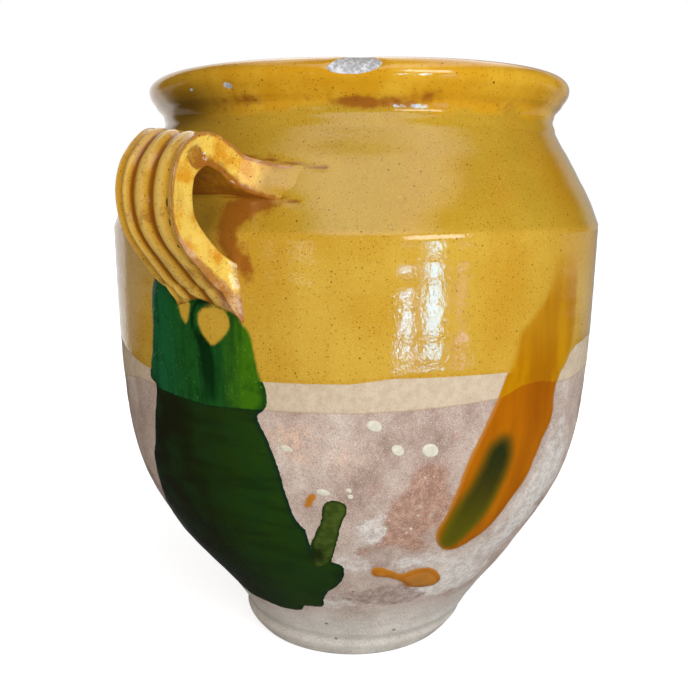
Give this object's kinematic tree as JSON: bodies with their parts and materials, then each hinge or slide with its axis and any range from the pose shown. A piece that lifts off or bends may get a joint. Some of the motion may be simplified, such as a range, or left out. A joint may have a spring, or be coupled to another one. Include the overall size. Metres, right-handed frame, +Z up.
{
  "type": "confit pot",
  "caption": "Glazed earthenware confit pot with a rolled lip, a ridged shoulder, a narrow foot and ribbed strap handles, for storing preserved meat.",
  "frame": {"origin": "middle of the flat base, on the surface that the pot stands on", "axes": "+Z up along the axis of the body; the strap handles stand out on +X and -X, and the splashed front lies towards -X and -Y"},
  "size_m": [0.2814, 0.223, 0.2585],
  "materials": {
    "yellow_glaze": "gloss"
  },
  "bodies": {
    "root": {"pot": "yellow_glaze"}
  },
  "joints": []
}
